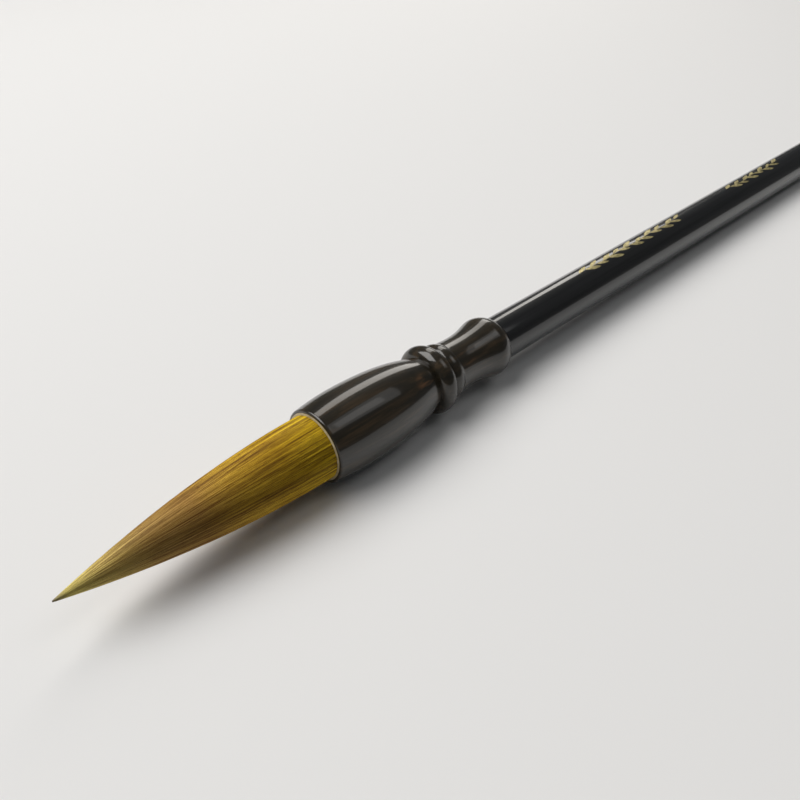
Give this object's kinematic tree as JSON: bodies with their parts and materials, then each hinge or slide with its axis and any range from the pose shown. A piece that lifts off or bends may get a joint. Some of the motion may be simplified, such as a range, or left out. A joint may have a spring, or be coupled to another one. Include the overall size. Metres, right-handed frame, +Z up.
{
  "type": "calligraphy brush",
  "caption": "Long round handled brush: pointed layered hair tuft that bends, turned dark wood ferrule with bead and waist, slim shaft and tail piece with a cord hole.",
  "frame": {"origin": "on the brush's axis at the waist of the ferrule, where a brush rest's notch holds it", "axes": "+X along the brush from the hair's point to the tail, +Z up, gold leaf engraving on the +Z side"},
  "size_m": [0.285, 0.0162, 0.0163],
  "materials": {
    "hair_gold": "fine straight hair, soft sheen",
    "hair_inner": "fine straight hair",
    "thread": "waxed thread",
    "glue": "dried glue, satin",
    "ferrule_wood": "dark figured hardwood, polished",
    "shaft_wood": "blackwood, lacquered",
    "gold": "dull gold filling"
  },
  "bodies": {
    "handle": {"ferrule": "ferrule_wood", "handle_shaft": "shaft_wood", "finial": "shaft_wood", "gold_inlay_front": "gold", "gold_inlay_rear": "gold", "root_binding": "thread", "root_seal": "glue", "glue_bed": "glue", "mouth_seal": "glue"},
    "tuft": {"mantle_hair": "hair_gold", "lining_hair": "hair_inner", "core_hair": "hair_inner"}
  },
  "joints": [
    {"name": "tuft_bend", "type": "hinge", "parent": "handle", "child": "tuft", "pos_m": [-0.05, 0, 0], "axis": [0, 0, 1], "range_deg": [-40, 40], "stiffness_Nm_per_rad": 0.015, "deforming": ["mantle_hair", "lining_hair", "core_hair"]}
  ]
}
